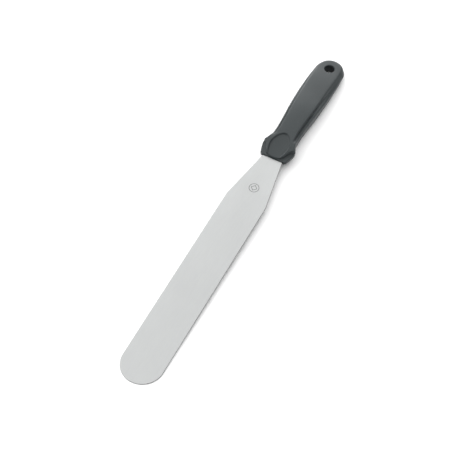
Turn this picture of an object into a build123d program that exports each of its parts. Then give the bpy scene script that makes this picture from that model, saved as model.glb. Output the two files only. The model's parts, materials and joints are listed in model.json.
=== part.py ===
from build123d import *
import math
import os

# Straight palette knife: a stainless sheet blade whose tang is held in a one-piece moulded handle.
# It is drawn flat first: X runs from the handle's front face (0) to the tip, Z is the blade's normal and
# 0 is the middle of the sheet. At the end the whole knife is laid down on its tip and its grip.
# Driving dimensions, in millimetres.

blade_length = 250.0
blade_width = 38.0
neck_width = 19.6
taper_length = 50.5
shoulder_radius = 24.0
heel_thickness = 1.2
tip_thickness = 0.8

tang_length = 86.0
tang_width = 13.0
tang_root_width = 17.0
tang_root_length = 7.0
tang_root_chamfer = 2.0
anchor_hole_radius = 2.5
anchor_stations = (22.0, 46.0, 70.0)

handle_length = 129.6
butt_radius = 14.4
grip_edge_radius = 4.4
grip_start = 12.0

collar_half_thickness = 1.6
collar_edge_round = 0.6
collar_corner_round = 1.4

tongue_front_station = 1.0
tongue_corner_round = 2.0
underside_inset = 1.6

dish_front_height = 2.9
dish_slope = 4.3
dish_half_width = 10.2
dish_widest_station = 11.0
dish_end_station = 28.4
dish_front_half_width = 7.2
dish_floor_round = 1.0

groove_radius = 1.3

hang_hole_radius = 4.7
hang_hole_station = 116.0
hang_hole_rim_round = 0.8

# Outlines of one side of the handle's parts, each as (station behind the handle's front face, half-width).
collar_half_widths = ((0.0, 12.3), (4.5, 13.9), (9.0, 15.2), (13.4, 16.0), (20.0, 12.0), (30.0, 6.0))
tongue_half_widths = ((2.8, 8.8), (8.4, 10.9), (11.7, 12.9), (13.8, 15.2), (21.0, 10.8), (34.0, 6.0))
grip_half_widths = ((grip_start, 11.9), (28.0, 12.0), (43.0, 12.5), (57.0, 13.5), (74.0, 14.4), (92.0, 14.9),
                    (107.0, 14.8))

# The handle from the side, as (station, half its thickness, height of its middle above the blade's). From the
# neck on, the handle drops away a little, so that it lies along the surface that the knife rests on.
side_profile = ((0.0, 3.6, 0.0), (6.0, 4.8, 0.0), (14.0, 6.0, 0.0), (26.0, 6.4, -0.2), (44.0, 7.4, -0.9),
                (63.0, 7.8, -1.6), (80.0, 7.4, -2.5), (99.0, 6.6, -3.7), (116.0, 5.4, -5.1),
                (handle_length, 4.7, -5.9))

# Middle of each side groove, as (station, distance from the centre line, height above the handle's middle,
# height of that middle).
groove_points = ((24.0, 11.3, 4.9, -0.2), (61.0, 13.1, 6.5, -1.5), (97.0, 15.2, 6.3, -3.6))

cut_margin = 2.0
belly_samples = 200


def mirrored(points):
    """The same points on the other side of the knife's centre line, in reverse order."""
    return [(x, -y) for x, y in reversed(points)]


def centred_prism(face, half_thickness):
    """One prism on both sides of a face, with no seam where the face was."""
    prism = extrude(face, 2 * half_thickness)
    normal = face.face().normal_at()
    return Pos(*(normal * -half_thickness)) * prism


def blade_plan():
    half_width = blade_width / 2
    half_neck = neck_width / 2
    tip_start = blade_length - half_width
    side = FilletPolyline((0, half_neck), (taper_length, half_width), (tip_start, half_width),
                          radius=shoulder_radius)
    tip = ThreePointArc((tip_start, half_width), (blade_length, 0), (tip_start, -half_width))
    other_side = side.mirror(Plane.XZ)
    heel = Line((0, half_neck), (0, -half_neck))
    return make_face(Curve() + [side, tip, other_side, heel])


def tang_plan():
    """The part of the sheet inside the handle: a wide root, then a strip with a rounded end."""
    half_root = tang_root_width / 2
    half_tang = tang_width / 2
    end_start = half_tang - tang_length
    root = [(0, half_root), (-tang_root_length, half_root),
            (-tang_root_length - tang_root_chamfer, half_tang), (end_start, half_tang)]
    side = Polyline(*root)
    end = ThreePointArc((end_start, half_tang), (-tang_length, 0), (end_start, -half_tang))
    other_side = Polyline(*mirrored(root))
    heel = Line((0, half_root), (0, -half_root))
    plan = make_face(Curve() + [side, end, other_side, heel])
    holes = [Pos(-station, 0) * Circle(anchor_hole_radius) for station in anchor_stations]
    return plan - holes


def ground_wedge():
    """A wedge as wide as the blade: the exposed sheet is ground thinner towards its tip."""
    half_heel = heel_thickness / 2
    half_tip = tip_thickness / 2
    section = Polyline((0, half_heel), (blade_length, half_tip), (blade_length, -half_tip), (0, -half_heel),
                       close=True)
    return centred_prism(Plane.XZ * make_face(section), blade_width)


def tang():
    return centred_prism(tang_plan(), heel_thickness / 2)


def blade():
    exposed = centred_prism(blade_plan(), heel_thickness) & ground_wedge()
    return exposed + tang()


def side_points(half_widths):
    return [(-station, half_width) for station, half_width in half_widths]


def grip_plan():
    butt_start = (butt_radius - handle_length, butt_radius)
    side = Spline(*side_points(grip_half_widths), butt_start, tangents=((-1, 0), (-1, 0)))
    butt = ThreePointArc(butt_start, (-handle_length, 0), (butt_start[0], -butt_start[1]))
    other_side = side.mirror(Plane.XZ)
    front = Line(side @ 0, other_side @ 0)
    return make_face(Curve() + [side, butt, other_side, front])


def upper_line():
    return Spline(*[(-station, middle + half) for station, half, middle in side_profile])


def lower_line():
    return Spline(*[(-station, middle - half) for station, half, middle in side_profile])


def side_slab():
    """Everything between the handle's top and bottom lines, seen from the side."""
    top = upper_line()
    bottom = lower_line()
    front = Line(top @ 0, bottom @ 0)
    back = Line(top @ 1, bottom @ 1)
    section = make_face(Curve() + [top, bottom, front, back])
    return centred_prism(Plane.XZ * section, blade_width)


def grip():
    body = centred_prism(grip_plan(), handle_length) & side_slab()
    front_face = body.faces().sort_by(Axis.X)[-1]
    rounded = body.edges() - front_face.edges() - body.edges().filter_by(Axis.Z)
    return fillet(rounded, grip_edge_radius)


def collar():
    """Thin flared plate that keeps the hand off the blade, with its corners and edges softened."""
    side = side_points(collar_half_widths)
    plate = centred_prism(make_face(Polyline(*side, *mirrored(side), close=True)), collar_half_thickness)
    buried_corners = plate.edges().filter_by(Axis.Z).group_by(Axis.X)[0]
    plate = fillet(plate.edges().filter_by(Axis.Z) - buried_corners, collar_corner_round)
    return fillet(plate.edges().filter_by(Axis.Z, reverse=True), collar_edge_round)


def tongue():
    """Raised thumb pad: blunt at the front, widest over the collar's corners, and narrower underneath."""
    side = side_points(tongue_half_widths)
    front = ThreePointArc(side[0], (-tongue_front_station, 0), mirrored(side)[-1])
    outline = make_face(Curve() + [front, Polyline(*side, *mirrored(side))])
    pad = extrude(outline, handle_length)
    front_corners = pad.edges().filter_by(Axis.Z).group_by(Axis.X)[-1]
    pad = fillet(front_corners, tongue_corner_round)
    lower_pad = extrude(offset(outline, -underside_inset, kind=Kind.INTERSECTION), -handle_length)
    return (pad + lower_pad) & side_slab()


def thumb_dish():
    """Shallow ramp in the tongue: it runs out at the front, and its steep wall is rounded off at the back."""
    widest = (-dish_widest_station, dish_half_width)
    back = ThreePointArc(widest, (-dish_end_station, 0), (widest[0], -widest[1]))
    side = [widest, (cut_margin, dish_front_half_width)]
    outline = Polyline(*side, *mirrored(side))
    cutter = extrude(make_face(Curve() + [back, outline]), handle_length)
    floor_edges = cutter.edges().group_by(Axis.Z)[0]
    cutter = fillet(floor_edges, dish_floor_round)
    return Pos(0, 0, dish_front_height) * Rot(0, dish_slope, 0) * cutter


def side_groove(side, face):
    """Bent rod with a round end: it bites into the grip's shoulder at the neck and runs out of it.

    side is 1 or -1 for the left or the right of the handle, face is 1 or -1 for its top or its underside.
    """
    points = [(-station, side * reach, middle + face * height)
              for station, reach, height, middle in groove_points]
    path = ThreePointArc(*points)
    rod = sweep(Plane(path @ 0, z_dir=path % 0) * Circle(groove_radius), path)
    return rod + Pos(*points[0]) * Sphere(groove_radius)


def with_hang_hole(body):
    """Drill the hanging hole through the grip and soften both its rims."""
    drilled = body - Pos(-hang_hole_station, 0) * Cylinder(hang_hole_radius, handle_length)
    walls = drilled.faces().filter_by(GeomType.CYLINDER)
    hole_wall = walls.sort_by(lambda wall: abs(wall.radius - hang_hole_radius))[0]
    rims = hole_wall.edges().filter_by(GeomType.LINE, reverse=True)
    return fillet(rims, hang_hole_rim_round)


def handle():
    body = with_hang_hole(grip()) + collar() + tongue()
    dishes = [thumb_dish(), thumb_dish().mirror(Plane.XY)]
    grooves = [side_groove(side, face) for side in (1, -1) for face in (1, -1)]
    return body - dishes - grooves - tang()


def resting_angle():
    """Slope of the floor under the knife, in degrees: from the tip's lower edge to the grip's belly."""
    belly = lower_line()
    half_tip = tip_thickness / 2
    samples = [belly @ (step / belly_samples) for step in range(belly_samples + 1)]
    return max(math.degrees(math.atan2(-point.Y - half_tip, blade_length - point.X)) for point in samples)


def laid_down(pieces):
    """Turn the pieces so that they lie on a level surface, with the origin under their middle."""
    turned = {name: Rot(0, resting_angle(), 0) * shape for name, shape in pieces.items()}
    box = Compound(list(turned.values())).bounding_box()
    middle = box.center()
    shift = Pos(-middle.X, -middle.Y, -box.min.Z)
    return {name: shift * shape for name, shape in turned.items()}


os.makedirs("parts", exist_ok=True)
placed = laid_down({"blade": blade(), "handle": handle()})
for name, shape in placed.items():
    export_step(shape, f"parts/{name}.step")
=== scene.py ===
import json
import math

import bpy
import numpy as np
from mathutils import Matrix, Vector


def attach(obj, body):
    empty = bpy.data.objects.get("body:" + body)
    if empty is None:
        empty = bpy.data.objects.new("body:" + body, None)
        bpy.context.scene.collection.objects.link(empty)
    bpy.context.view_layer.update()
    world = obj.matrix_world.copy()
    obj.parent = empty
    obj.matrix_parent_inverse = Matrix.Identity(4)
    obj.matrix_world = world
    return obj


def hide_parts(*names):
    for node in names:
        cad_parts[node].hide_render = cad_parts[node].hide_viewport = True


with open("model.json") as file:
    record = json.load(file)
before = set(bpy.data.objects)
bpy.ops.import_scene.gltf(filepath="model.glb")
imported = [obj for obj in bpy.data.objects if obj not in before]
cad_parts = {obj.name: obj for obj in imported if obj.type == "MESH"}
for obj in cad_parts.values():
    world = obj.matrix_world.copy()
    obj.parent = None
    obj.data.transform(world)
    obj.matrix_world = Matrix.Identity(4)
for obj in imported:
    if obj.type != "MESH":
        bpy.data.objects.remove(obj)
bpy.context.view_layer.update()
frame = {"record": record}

# The knife is drawn flat, in millimetres: X runs from the handle's front face (0) to the tip, Z is the
# blade's normal and 0 is the middle of the sheet. Along the handle, places are given by their station, the
# distance behind its front face. knife_to_frame lays the knife down where the CAD model lies.

MM = 0.001

BLADE_LENGTH = 250.0
BLADE_HALF_WIDTH = 19.0
NECK_HALF_WIDTH = 9.8
TAPER_LENGTH = 50.5
SHOULDER_RADIUS = 24.0
HEEL_THICKNESS = 1.2
TIP_THICKNESS = 0.8
RIM_WIDTH = 0.3
RIM_BORDER = 0.36
NECK_IN_HANDLE = 7.0
FACE_MOUNT_STATION = 150.0

MARK_STATION = 35.5
MARK_RADIUS = 4.4
DIAMOND_REACH = 0.62 * MARK_RADIUS
MARK_LINE_CORE = 0.20
MARK_LINE_EDGE = 0.30

HANDLE_LENGTH = 129.6
BUTT_RADIUS = 14.4
GRIP_EDGE_RADIUS = 5.0
TOP_CROWN = 0.9
CROWN_HALF_WIDTH = 14.0
HANG_HOLE_STATION = 116.0
HANG_HOLE_RADIUS = 4.7
HANG_HOLE_RIM = 0.8

COLLAR_CORNER = 13.4
COLLAR_HALF_THICKNESS = 1.6
COLLAR_BACK_HALF_WIDTH = 15.8
COLLAR_BACK_SLOPE = 0.6

TONGUE_SETBACK = 1.0
TONGUE_BOW = 0.022
TONGUE_BACK_HALF_WIDTH = 16.2
TONGUE_BACK_SLOPE = 0.62
TONGUE_EDGE_RADIUS = 0.8
TONGUE_DRAFT = 0.18
TONGUE_DRAFT_HEIGHT = 4.0
UNDERSIDE_INSET = 1.6

# The thumb rest: its outline, the height and the slopes of its floor, and the wall round it.
DISH_CENTRE = 11.0
DISH_HALF_LENGTH = 17.4
DISH_HALF_WIDTH = 10.4
DISH_FRONT_HALF_WIDTH = 6.6
DISH_SIDE_SLOPE = 0.36
DISH_UNDERSIDE_INSET = 1.4 * UNDERSIDE_INSET
DISH_FRONT_HEIGHT = 2.7
DISH_RISE = 0.095
DISH_HOLLOW = 0.3
DISH_WALL_SLOPE = 2.8
DISH_WALL_WIDTH = 0.6

# Where the grooves lie inside the grip's side and under its top, at the neck and towards the butt.
GROOVE_INSET = 1.5
GROOVE_INSET_GAIN = 0.5
GROOVE_DROP = 1.4
GROOVE_DROP_GAIN = 1.0
GROOVE_WIDTH = 1.1
GROOVE_WIDTH_GAIN = 1.3
GROOVE_DEPTH = 2.2
GROOVE_DEPTH_LOSS = 0.8

# The slot in the handle round the blade's neck, a hair larger than the sheet.
SLOT_HALF_WIDTH = NECK_HALF_WIDTH + 0.1
SLOT_HALF_HEIGHT = HEEL_THICKNESS / 2 + 0.06
SLOT_DEPTH = NECK_IN_HANDLE + 0.2

# Half-widths of the parts of the handle, by station.
COLLAR_HALF_WIDTHS = ((0, 12.3), (4.5, 13.9), (9, 15.2), (13, 16.1), (16, 16.5))
TONGUE_HALF_WIDTHS = ((0, 7.4), (4.6, 8.8), (8.4, 10.6), (11.7, 12.6), (14, 15.8))
GRIP_HALF_WIDTHS = ((16, 11.9), (28, 12.0), (43, 12.5), (57, 13.5), (74, 14.4), (92, 14.9), (107, 14.8),
                    (115.2, 14.4))

# Half the handle's thickness, and the height of its middle line above the sheet's, by station. From the
# neck on, the handle drops away a little, so that it lies along the surface the knife rests on.
HALF_HEIGHTS = ((0, 3.6), (6, 4.8), (14, 6.0), (26, 6.4), (44, 7.4), (63, 7.8), (80, 7.4), (99, 6.6),
                (116, 5.4), (129.6, 4.7))
MIDDLE_HEIGHTS = ((0, 0), (14, 0), (26, -0.2), (44, -0.9), (63, -1.6), (80, -2.5), (99, -3.68),
                  (116, -5.07), (129.6, -5.87))

GRID_STEP = 0.4

# The camera looks at a point on the floor, this far from the handle's front face towards the tip and aside.
# Its angles are in degrees, and its distance and lens in millimetres.
CAMERA_AZIMUTH = 118.3
CAMERA_ELEVATION = 55.97
CAMERA_DISTANCE = 1236.7
LENS_LENGTH = 112.98
LOOK_AHEAD = 78.7
LOOK_ASIDE = -4.8


def half_thickness(x):
    share = np.clip(x / BLADE_LENGTH, 0, 1)
    return (HEEL_THICKNESS + (TIP_THICKNESS - HEEL_THICKNESS) * share) / 2


def knife_to_frame():
    """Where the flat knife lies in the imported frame, from its hanging hole's axis and its blade's mount."""
    mounts = {mount["name"]: mount for mount in frame["record"]["mounts"]}
    up = Vector(mounts["hang_hole"]["axis"]).normalized()
    side = Vector((0, 1, 0))
    turn = Matrix((side.cross(up), side, up)).transposed().to_4x4()
    turn = turn @ Matrix.Scale(MM, 4)
    on_face = turn @ Vector((FACE_MOUNT_STATION, 0, half_thickness(FACE_MOUNT_STATION)))
    return Matrix.Translation(Vector(mounts["blade_face"]["pos_m"]) - on_face) @ turn


KNIFE = knife_to_frame()


# ---- Shaping with signed distances ----------------------------------------------------------------------
# Each function takes arrays of points and returns roughly the distance to a surface, negative inside.

def round_max(a, b, radius):
    """Intersection of two shapes, with their common edge rounded."""
    over_a = np.maximum(a + radius, 0)
    over_b = np.maximum(b + radius, 0)
    return np.minimum(np.maximum(a, b), -radius) + np.hypot(over_a, over_b)


def round_min(a, b, radius):
    """Union of two shapes, with a fillet where they meet."""
    return -round_max(-a, -b, radius)


def smooth_step(x, start, end):
    t = np.clip((x - start) / (end - start), 0, 1)
    return t * t * (3 - 2 * t)


def smooth_curve(points):
    """A smooth curve through (station, value) points, as a function of the station."""
    stations, values = (np.array(column, float) for column in zip(*points))
    slopes = np.gradient(values, stations)

    def curve(station):
        s = np.clip(station, stations[0], stations[-1])
        i = np.clip(np.searchsorted(stations, s, side="right") - 1, 0, len(stations) - 2)
        span = stations[i + 1] - stations[i]
        t = (s - stations[i]) / span
        return ((1 + 2 * t) * (1 - t) ** 2 * values[i] + t * (1 - t) ** 2 * span * slopes[i]
                + t * t * (3 - 2 * t) * values[i + 1] + t * t * (t - 1) * span * slopes[i + 1])
    return curve


collar_half_width = smooth_curve(COLLAR_HALF_WIDTHS)
tongue_half_width = smooth_curve(TONGUE_HALF_WIDTHS)
grip_half_width = smooth_curve(GRIP_HALF_WIDTHS)
half_height = smooth_curve(HALF_HEIGHTS)
middle_height = smooth_curve(MIDDLE_HEIGHTS)


def beside(half_width, station, y):
    """Distance outside a symmetric outline given by its half-width."""
    slope = (half_width(station + 0.2) - half_width(station - 0.2)) / 0.4
    return (np.abs(y) - half_width(station)) / np.sqrt(1 + slope ** 2)


def beyond(station, y, point, slope):
    """Distance outside two straight edges, through a point and its mirror image.

    They close in towards the butt, or towards the front where the slope is negative.
    """
    return ((station - point[0]) * slope + np.abs(y) - point[1]) / math.hypot(slope, 1)


def grip_plan(station, y):
    butt_centre = HANDLE_LENGTH - BUTT_RADIUS
    butt = np.hypot(station - butt_centre, y) - BUTT_RADIUS
    side = beside(grip_half_width, station, y)
    front = COLLAR_CORNER + 2 - station
    return np.maximum(np.where(station > butt_centre, butt, side), front)


def collar_plan(station, y):
    flank = beside(collar_half_width, station, y)
    back = beyond(station, y, (COLLAR_CORNER, COLLAR_BACK_HALF_WIDTH), COLLAR_BACK_SLOPE)
    return round_max(round_max(flank, back, 1.2), -station, 2.0)


def tongue_plan(station, y):
    flank = beside(tongue_half_width, station, y)
    back = beyond(station, y, (COLLAR_CORNER, TONGUE_BACK_HALF_WIDTH), TONGUE_BACK_SLOPE)
    front = (TONGUE_SETBACK + TONGUE_BOW * y ** 2 - station) * 0.95
    return round_max(round_max(flank, back, 1.5), front, 2.4)


def dish_plan(station, y, inset):
    """Outline of the thumb rest: half an oval behind, and straight sides that close in at the front."""
    along = np.maximum(station - DISH_CENTRE, 0.01) / DISH_HALF_LENGTH
    across = np.abs(y) / DISH_HALF_WIDTH + 0.001
    reach = np.sqrt(along ** 2 + across ** 2)
    steepness = np.hypot(along / DISH_HALF_LENGTH, across / DISH_HALF_WIDTH) / reach
    side = beyond(station, y, (0, DISH_FRONT_HALF_WIDTH - inset), -DISH_SIDE_SLOPE)
    return round_max((reach - 1) / steepness, side, 3.0)


def dish_surface(station, y, inset):
    """Height of the thumb rest: a shallow ramp that runs out at the front and has a steep wall behind."""
    floor = DISH_FRONT_HEIGHT + DISH_RISE * station + DISH_HOLLOW * (y / DISH_HALF_WIDTH) ** 2
    wall = floor + DISH_WALL_SLOPE * (dish_plan(station, y, inset) + DISH_WALL_WIDTH)
    return round_max(floor, wall, 0.6)


def groove_depth(station, y, z):
    """Groove along each shoulder of the grip: sharp and deep at the neck, fading towards the butt."""
    sinking = smooth_step(station, 50, 100)
    path_y = grip_half_width(station) - GROOVE_INSET - GROOVE_INSET_GAIN * sinking
    path_z = half_height(station) - GROOVE_DROP - GROOVE_DROP_GAIN * sinking
    width = GROOVE_WIDTH + GROOVE_WIDTH_GAIN * smooth_step(station, 50, 115)
    fading = 1 - GROOVE_DEPTH_LOSS * smooth_step(station, 60, 125)
    depth = GROOVE_DEPTH * smooth_step(station, 20, 26) * fading
    gap = np.abs((np.abs(y) - path_y) - (z - path_z)) / (math.sqrt(2) * width)
    return depth * np.exp(-gap ** 2)


def handle_body(station, y, z, underneath):
    """Tongue and grip in one, with crowned top, rounded edges and grooves."""
    height = half_height(station)
    top = z - (height - TOP_CROWN * (y / CROWN_HALF_WIDTH) ** 2)
    tongue = tongue_plan(station, y) + UNDERSIDE_INSET * underneath
    plan = round_min(tongue, grip_plan(station, y), 2.5)
    draft = TONGUE_DRAFT * (z - TONGUE_DRAFT_HEIGHT) * (1 - smooth_step(station, 16, 26))
    grip_radius = np.minimum(GRIP_EDGE_RADIUS, 0.9 * height)
    edge_radius = TONGUE_EDGE_RADIUS + (grip_radius - TONGUE_EDGE_RADIUS) * smooth_step(station, 17, 34)
    return round_max(plan + draft, top, edge_radius) + groove_depth(station, y, z)


def handle_distance(points):
    """The handle; its underside mirrors its top, but the tongue there is narrower."""
    x, y, z = points
    station = -x
    underneath = smooth_step(-z, -1.5, 1.5)
    z = np.abs(z - middle_height(station))
    body = handle_body(station, y, z, underneath)
    collar = round_max(collar_plan(station, y), z - COLLAR_HALF_THICKNESS, 0.6)
    body = round_min(body, collar, 0.8 + 1.2 * smooth_step(station, 13, 20))
    dish = z - dish_surface(station, y, DISH_UNDERSIDE_INSET * underneath)
    body = round_max(body, dish, 0.5)
    hole = HANG_HOLE_RADIUS - np.hypot(station - HANG_HOLE_STATION, y)
    body = round_max(body, hole, HANG_HOLE_RIM)
    slot_section = np.maximum(np.abs(y) - SLOT_HALF_WIDTH, z - SLOT_HALF_HEIGHT)
    slot = np.maximum(slot_section, station - SLOT_DEPTH)
    return np.maximum(body, -slot)


# ---- Meshing --------------------------------------------------------------------------------------------

def surface_net(distance, low, high, step):
    """Closed quad mesh of a distance function's zero surface: one vertex in every cell that it crosses."""
    axes = [np.arange(a, b + step, step) for a, b in zip(low, high)]
    grid = np.meshgrid(*axes, indexing="ij")
    value = distance(grid)
    inside = value < 0
    shape = tuple(n - 1 for n in value.shape)
    corners = [(i, j, k) for i in (0, 1) for j in (0, 1) for k in (0, 1)]

    def corner(array, offset):
        return array[tuple(slice(o, o + n) for o, n in zip(offset, shape))]

    total = np.zeros(shape + (3,))
    count = np.zeros(shape)
    for first in corners:
        for axis in range(3):
            if first[axis]:
                continue
            second = tuple(o + (1 if a == axis else 0) for a, o in enumerate(first))
            va, vb = corner(value, first), corner(value, second)
            crossing = (va < 0) != (vb < 0)
            share = np.where(crossing, va / np.where(crossing, va - vb, 1), 0)
            point = np.zeros(shape + (3,))
            for a in range(3):
                point[..., a] = corner(grid[a], first) + (share * step if a == axis else 0)
            total += point * crossing[..., None]
            count += crossing
    used = count > 0
    index = np.full(shape, -1)
    index[used] = np.arange(used.sum())
    vertices = total[used] / count[used][:, None]

    quads = []
    for axis in range(3):
        b, c = [a for a in range(3) if a != axis]
        low_end = [slice(1, -1)] * 3
        high_end = [slice(1, -1)] * 3
        low_end[axis] = slice(0, -1)
        high_end[axis] = slice(1, None)
        first, second = inside[tuple(low_end)], inside[tuple(high_end)]
        where = np.argwhere(first != second)
        where[:, b] += 1
        where[:, c] += 1
        around = []
        for db, dc in ((1, 1), (0, 1), (0, 0), (1, 0)):
            cell = where.copy()
            cell[:, b] -= db
            cell[:, c] -= dc
            around.append(index[tuple(cell.T)])
        quad = np.stack(around, axis=1)
        enters = first[tuple((where - [1 if a != axis else 0 for a in range(3)]).T)]
        flip = enters if axis == 1 else ~enters
        quad[flip] = quad[flip][:, ::-1]
        quads.append(quad)
    return vertices, np.concatenate(quads)


def gradient(distance, vertices, reach=0.02):
    result = np.empty_like(vertices)
    for axis in range(3):
        shift = np.zeros(3)
        shift[axis] = reach
        result[:, axis] = (distance((vertices + shift).T) - distance((vertices - shift).T)) / (2 * reach)
    return result


def settle(distance, vertices, quads, rounds=4):
    """Even out the vertices along the surface and pull each one exactly onto it."""
    start = np.concatenate([quads, np.roll(quads, -1, axis=1)], axis=None).reshape(2, -1)
    edges = np.concatenate([start, start[::-1]], axis=1)
    degree = np.bincount(edges[0], minlength=len(vertices))[:, None]
    for _ in range(rounds):
        total = np.zeros_like(vertices)
        for axis in range(3):
            total[:, axis] = np.bincount(edges[0], vertices[edges[1], axis], minlength=len(vertices))
        vertices = 0.5 * vertices + 0.5 * total / degree
        for _ in range(3):
            slope = gradient(distance, vertices)
            steepness = np.maximum((slope ** 2).sum(axis=1, keepdims=True), 0.25)
            vertices = vertices - distance(vertices.T)[:, None] * slope / steepness
    return vertices


def make_piece(name, vertices, faces, materials, node):
    """A smooth-shaded object from points in the knife's flat frame, standing for a CAD node."""
    mesh = bpy.data.meshes.new(name)
    mesh.from_pydata([tuple(v) for v in vertices], [], [tuple(int(i) for i in f) for f in faces])
    mesh.transform(KNIFE)
    mesh.polygons.foreach_set("use_smooth", [True] * len(mesh.polygons))
    for material in materials:
        mesh.materials.append(material)
    mesh.validate()
    mesh.update()
    piece = bpy.data.objects.new(name, mesh)
    bpy.context.scene.collection.objects.link(piece)
    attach(piece, "root")
    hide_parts(node)
    return piece


# ---- Materials ------------------------------------------------------------------------------------------

def new_material(name):
    material = bpy.data.materials.new(name)
    material.use_nodes = True
    tree = material.node_tree
    return material, tree.nodes, tree.links, tree.nodes["Principled BSDF"]


def noise(nodes, links, coordinates, scale, detail, stretch=None):
    """Noise over the object, optionally drawn out along the knife."""
    texture = nodes.new("ShaderNodeTexNoise")
    texture.inputs["Scale"].default_value = scale
    texture.inputs["Detail"].default_value = detail
    if stretch:
        mapping = nodes.new("ShaderNodeMapping")
        mapping.inputs["Scale"].default_value = stretch
        links.new(coordinates, mapping.inputs["Vector"])
        coordinates = mapping.outputs["Vector"]
    links.new(coordinates, texture.inputs["Vector"])
    return texture.outputs["Fac"]


def remap(nodes, links, value, low, high, source=(0.3, 0.7)):
    node = nodes.new("ShaderNodeMapRange")
    node.inputs["From Min"].default_value, node.inputs["From Max"].default_value = source
    node.inputs["To Min"].default_value, node.inputs["To Max"].default_value = low, high
    links.new(value, node.inputs["Value"])
    return node.outputs["Result"]


def maths(nodes, links, operation, *values):
    node = nodes.new("ShaderNodeMath")
    node.operation = operation
    for socket, value in zip(node.inputs, values):
        if isinstance(value, (int, float)):
            socket.default_value = value
        else:
            links.new(value, socket)
    return node.outputs["Value"]


def blend(nodes, links, factor, first, second):
    node = nodes.new("ShaderNodeMix")
    node.data_type = "RGBA"
    links.new(factor, node.inputs["Factor"])
    for socket, value in ((node.inputs[6], first), (node.inputs[7], second)):
        if isinstance(value, tuple):
            socket.default_value = (*value, 1)
        else:
            links.new(value, socket)
    return node.outputs[2]


def bump(nodes, links, height, distance, strength, below=None):
    node = nodes.new("ShaderNodeBump")
    node.inputs["Distance"].default_value = distance
    node.inputs["Strength"].default_value = strength
    links.new(height, node.inputs["Height"])
    if below:
        links.new(below, node.inputs["Normal"])
    return node.outputs["Normal"]


def plastic_material():
    """Dark grey plastic with a fine moulded grain, slightly smoother and paler in worn patches."""
    material, nodes, links, shader = new_material("moulded_plastic")
    where = nodes.new("ShaderNodeTexCoord").outputs["Object"]
    clouds = noise(nodes, links, where, 55, 3)
    grain = noise(nodes, links, where, 2300, 2)
    waves = noise(nodes, links, where, 130, 1)
    wear = remap(nodes, links, noise(nodes, links, where, 21, 4), 0, 1, (0.5, 0.68))
    colour = blend(nodes, links, clouds, (0.0185, 0.0240, 0.0255), (0.0235, 0.0295, 0.0312))
    paler = maths(nodes, links, "MULTIPLY", wear, 0.3)
    colour = blend(nodes, links, paler, colour, (0.036, 0.043, 0.045))
    links.new(colour, shader.inputs["Base Color"])
    rough = remap(nodes, links, clouds, 0.36, 0.44)
    rough = maths(nodes, links, "MULTIPLY_ADD", wear, -0.05, rough)
    rough = maths(nodes, links, "MULTIPLY_ADD", grain, 0.06, rough)
    links.new(rough, shader.inputs["Roughness"])
    shader.inputs["Specular IOR Level"].default_value = 0.31
    normal = bump(nodes, links, waves, 0.00025, 0.25)
    links.new(bump(nodes, links, grain, 0.00008, 0.45, normal), shader.inputs["Normal"])
    return material


def etched_mark(nodes, links, where):
    """Mask of a plain ring with a diamond in it, etched into the upper face ahead of the handle."""
    shift = nodes.new("ShaderNodeVectorMath")
    shift.operation = "SUBTRACT"
    shift.inputs[1].default_value = KNIFE @ Vector((MARK_STATION, 0, HEEL_THICKNESS / 2))
    links.new(where, shift.inputs[0])
    parts = nodes.new("ShaderNodeSeparateXYZ")
    links.new(shift.outputs["Vector"], parts.inputs["Vector"])
    x, y = (maths(nodes, links, "ABSOLUTE", parts.outputs[axis]) for axis in "XY")
    squares = [maths(nodes, links, "MULTIPLY", value, value) for value in (x, y)]
    radius = maths(nodes, links, "SQRT", maths(nodes, links, "ADD", *squares))
    off_ring = maths(nodes, links, "SUBTRACT", radius, MARK_RADIUS * MM)
    off_diamond = maths(nodes, links, "SUBTRACT", maths(nodes, links, "ADD", x, y), DIAMOND_REACH * MM)
    ring = maths(nodes, links, "ABSOLUTE", off_ring)
    diamond = maths(nodes, links, "MULTIPLY", maths(nodes, links, "ABSOLUTE", off_diamond), 0.7)
    line = maths(nodes, links, "MINIMUM", ring, diamond)
    mask = remap(nodes, links, line, 1, 0, (MARK_LINE_CORE * MM, MARK_LINE_EDGE * MM))
    upper_face = maths(nodes, links, "GREATER_THAN", parts.outputs["Z"], -HEEL_THICKNESS * 0.7 * MM)
    return maths(nodes, links, "MULTIPLY", mask, upper_face)


def steel_material():
    """Satin stainless sheet, ground along its length, with faint patches from handling."""
    material, nodes, links, shader = new_material("satin_steel")
    where = nodes.new("ShaderNodeTexCoord").outputs["Object"]
    brushed = noise(nodes, links, where, 1, 4, (28, 2600, 2600))
    bands = noise(nodes, links, where, 1, 2, (6, 190, 190))
    patches = noise(nodes, links, where, 26, 3)
    mark = etched_mark(nodes, links, where)
    colour = blend(nodes, links, brushed, (0.340, 0.346, 0.345), (0.393, 0.400, 0.399))
    darker = maths(nodes, links, "MULTIPLY", mark, 0.95)
    colour = blend(nodes, links, darker, colour, (0.085, 0.088, 0.088))
    links.new(colour, shader.inputs["Base Color"])
    shader.inputs["Metallic"].default_value = 1.0
    rough = remap(nodes, links, patches, 0.31, 0.37)
    rough = maths(nodes, links, "MULTIPLY_ADD", bands, 0.07, rough)
    rough = maths(nodes, links, "MULTIPLY_ADD", mark, 0.20, rough)
    links.new(rough, shader.inputs["Roughness"])
    normal = bump(nodes, links, bands, 0.00004, 0.15)
    links.new(bump(nodes, links, brushed, 0.00002, 0.35, normal), shader.inputs["Normal"])
    return material


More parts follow.
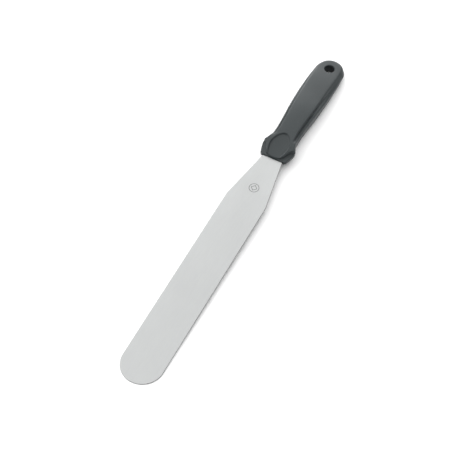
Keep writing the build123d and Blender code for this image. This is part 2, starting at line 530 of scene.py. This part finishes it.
def rim_shade_material():
    """The sheet's narrow rim: duller than its ground faces, and painted darker: its dark colour is painted
    shade and a painted dark reflection along the edge.
    """
    material, nodes, links, shader = new_material("sheet_rim_painted_shade")
    where = nodes.new("ShaderNodeTexCoord").outputs["Object"]
    streaks = noise(nodes, links, where, 900, 3)
    # These dark rim colours are painted shade along the sheet's edge, not the steel's own tone.
    colour = blend(nodes, links, streaks, (0.15, 0.155, 0.155), (0.23, 0.235, 0.235))
    links.new(colour, shader.inputs["Base Color"])
    links.new(remap(nodes, links, streaks, 0.42, 0.60), shader.inputs["Roughness"])
    shader.inputs["Metallic"].default_value = 1.0
    return material


# ---- Pieces ---------------------------------------------------------------------------------------------

def handle_piece():
    """The handle, meshed from its distance function inside a box with a little room on every side."""
    low = (-HANDLE_LENGTH - 1, -17.5, -12)
    high = (1, 17.5, 9)
    vertices, quads = surface_net(handle_distance, low, high, GRID_STEP)
    vertices = settle(handle_distance, vertices, quads)
    return make_piece("handle_shell", vertices, quads, [plastic_material()], "handle")


def blade_outline():
    """Points and outward normals along one side of the blade, from inside the handle to the tip."""
    slope = (BLADE_HALF_WIDTH - NECK_HALF_WIDTH) / TAPER_LENGTH
    turn = math.atan(slope)
    tangent = SHOULDER_RADIUS * math.tan(turn / 2)
    arc_start = TAPER_LENGTH - tangent * math.cos(turn)
    arc_centre_y = BLADE_HALF_WIDTH - SHOULDER_RADIUS
    tip_centre = BLADE_LENGTH - BLADE_HALF_WIDTH
    rows = []
    for x in np.linspace(-NECK_IN_HANDLE, 0, 4):
        rows.append((x, NECK_HALF_WIDTH, 0.0))
    for x in np.linspace(1.5, arc_start, 26):
        rows.append((x, NECK_HALF_WIDTH + slope * x, turn))
    for angle in np.linspace(turn, 0, 9)[1:]:
        x = TAPER_LENGTH + tangent - SHOULDER_RADIUS * math.sin(angle)
        rows.append((x, arc_centre_y + SHOULDER_RADIUS * math.cos(angle), angle))
    for x in np.linspace(TAPER_LENGTH + tangent, tip_centre, 90)[1:]:
        rows.append((x, BLADE_HALF_WIDTH, 0.0))
    for angle in np.linspace(0, math.pi / 2, 33)[1:]:
        x = tip_centre + BLADE_HALF_WIDTH * math.sin(angle)
        rows.append((x, BLADE_HALF_WIDTH * math.cos(angle), -angle))
    return [((x, y), (-math.sin(a), math.cos(a))) for x, y, a in rows]


def blade_piece():
    """The sheet: a rounded rim all round it, joined by one strip of faces above and one below."""
    side = blade_outline()
    around = side + [((x, -y), (nx, -ny)) for (x, y), (nx, ny) in side[-2::-1]]
    border = -RIM_WIDTH - RIM_BORDER
    profile = [(border, 1.0)]
    profile += [(RIM_WIDTH * (math.sin(a) - 1), math.cos(a)) for a in np.linspace(0, math.pi, 9)]
    profile += [(border, -1.0)]
    vertices = []
    for (x, y), (nx, ny) in around:
        for reach, lift in profile:
            vertices.append((x + nx * reach, y + ny * reach, half_thickness(x) * lift))
    size = len(profile)
    count = len(around)
    faces = [(r * size + i, (r + 1) * size + i, (r + 1) * size + i + 1, r * size + i + 1)
             for r in range(count - 1) for i in range(size - 1)]
    rim_faces = len(faces)
    for r in range((count - 1) // 2):
        near, far = r * size, (count - 1 - r) * size
        next_near, next_far = near + size, far - size
        last = [next_near] if next_near == next_far else [next_near, next_far]
        faces.append((far, *last[::-1], near))
        faces.append((near + size - 1, *[v + size - 1 for v in last], far + size - 1))
    faces.append((*range(size), *range(count * size - 1, (count - 1) * size - 1, -1)))
    materials = [steel_material(), rim_shade_material()]
    piece = make_piece("blade_sheet", vertices, faces, materials, "blade")
    # The rim's faces take the second material, whose dark colour is painted shade along the edge.
    for number in range(rim_faces):
        if 1 < number % (size - 1) < size - 3:
            piece.data.polygons[number].material_index = 1
    return piece


handle_piece()
blade_piece()


# ---- Floor, light and camera ----------------------------------------------------------------------------

def direction(azimuth, elevation):
    """Unit vector towards an azimuth and an elevation in degrees; azimuth 0 is towards -Y."""
    turn = math.radians(azimuth)
    lift = math.radians(elevation)
    return Vector((math.sin(turn) * math.cos(lift), -math.cos(turn) * math.cos(lift), math.sin(lift)))


def make_floor():
    """Plain white paper, six metres square, with a faint fibre."""
    half = 3.0
    corners = [(-half, -half, 0), (half, -half, 0), (half, half, 0), (-half, half, 0)]
    mesh = bpy.data.meshes.new("floor")
    mesh.from_pydata(corners, [], [(0, 1, 2, 3)])
    floor = bpy.data.objects.new("floor", mesh)
    bpy.context.scene.collection.objects.link(floor)
    material, nodes, links, shader = new_material("floor_paper")
    where = nodes.new("ShaderNodeTexCoord").outputs["Object"]
    fibres = noise(nodes, links, where, 700, 4)
    colour = blend(nodes, links, fibres, (0.895, 0.895, 0.895), (0.905, 0.905, 0.905))
    links.new(colour, shader.inputs["Base Color"])
    links.new(remap(nodes, links, fibres, 0.86, 0.94), shader.inputs["Roughness"])
    mesh.materials.append(material)


def add_panel(name, bearing, elevation, distance, size, radiance):
    """A soft light panel that faces the knife; bearing 0 is behind it in the picture, 90 is on the left."""
    position = direction(CAMERA_AZIMUTH + 180 + bearing, elevation) * distance
    light = bpy.data.lights.new(name, "AREA")
    light.shape = "RECTANGLE"
    light.size, light.size_y = size
    light.energy = radiance * math.pi * size[0] * size[1]
    lamp = bpy.data.objects.new(name, light)
    lamp.location = position
    lamp.rotation_euler = (-position).to_track_quat("-Z", "Y").to_euler()
    bpy.context.scene.collection.objects.link(lamp)


def make_world(horizon, zenith, ahead):
    """White surroundings, brighter overhead than at the horizon and dimmer ahead of the blade's tip."""
    world = bpy.data.worlds.new("studio")
    world.use_nodes = True
    nodes, links = world.node_tree.nodes, world.node_tree.links
    background = nodes["Background"]
    background.inputs["Color"].default_value = (1, 1, 1, 1)
    parts = nodes.new("ShaderNodeSeparateXYZ")
    links.new(nodes.new("ShaderNodeTexCoord").outputs["Generated"], parts.inputs["Vector"])
    strength = remap(nodes, links, parts.outputs["Z"], horizon, zenith, (0.74, 0.94))
    dimming = remap(nodes, links, parts.outputs["X"], 1, ahead, (0.35, 0.8))
    strength = maths(nodes, links, "MULTIPLY", strength, dimming)
    links.new(strength, background.inputs["Strength"])
    bpy.context.scene.world = world


def make_camera():
    junction = KNIFE @ Vector((0, 0, 0))
    target = Vector((junction.x + LOOK_AHEAD * MM, LOOK_ASIDE * MM, 0))
    back = direction(CAMERA_AZIMUTH, CAMERA_ELEVATION)
    data = bpy.data.cameras.new("camera")
    data.sensor_width = 36.0
    data.lens = LENS_LENGTH
    data.clip_end = 20
    camera = bpy.data.objects.new("camera", data)
    camera.location = target + back * CAMERA_DISTANCE * MM
    camera.rotation_euler = (-back).to_track_quat("-Z", "Y").to_euler()
    bpy.context.scene.collection.objects.link(camera)
    bpy.context.scene.camera = camera


make_floor()
make_world(0.88, 1.9, 0.4)
add_panel("back_panel", 0, 27, 1.6, (2.4, 1.1), 2.7)
add_panel("left_panel", 75, 38, 1.4, (1.2, 1.0), 2.4)
make_camera()
bpy.context.scene.view_settings.view_transform = "Standard"
